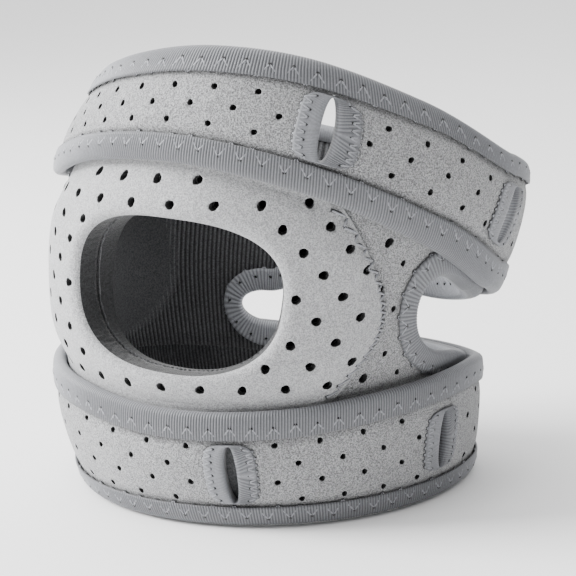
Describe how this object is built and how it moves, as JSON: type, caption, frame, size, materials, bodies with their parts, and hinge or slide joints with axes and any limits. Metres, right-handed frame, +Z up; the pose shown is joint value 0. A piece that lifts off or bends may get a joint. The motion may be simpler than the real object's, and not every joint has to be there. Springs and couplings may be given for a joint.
{
  "type": "knee brace",
  "caption": "Padded knee brace with an open kneecap, an open back of the knee, and two bound and slotted straps above and below it.",
  "frame": {"origin": "under the middle of the brace, on the level plane of its lower rim", "axes": "+Z up the leg, -Y toward the kneecap opening, +X toward the side with the two visible slots"},
  "size_m": [0.1544, 0.118, 0.1399],
  "materials": {
    "brushed_fabric": "light grey brushed loop fabric with small punched holes",
    "pad_fabric": "smooth light grey knitted face with punched holes",
    "binding_tape": "ribbed grey elastic tape with zigzag stitching",
    "lining_fabric": "charcoal knit with fine upright ribs"
  },
  "bodies": {
    "root": {"panel_lining": "lining_fabric", "knee_panel": "brushed_fabric", "patella_pad": "pad_fabric", "popliteal_opening_tape": "binding_tape", "upper_strap": "brushed_fabric", "upper_strap_top_binding": "binding_tape", "upper_strap_bottom_binding": "binding_tape", "lower_strap": "brushed_fabric", "lower_strap_top_binding": "binding_tape", "lower_strap_bottom_binding": "binding_tape", "upper_front_slot_tape": "binding_tape", "upper_side_slot_tape": "binding_tape", "lower_front_slot_tape": "binding_tape", "lower_side_slot_tape": "binding_tape", "upper_closure_tab": "brushed_fabric", "lower_closure_tab": "brushed_fabric"}
  },
  "joints": []
}
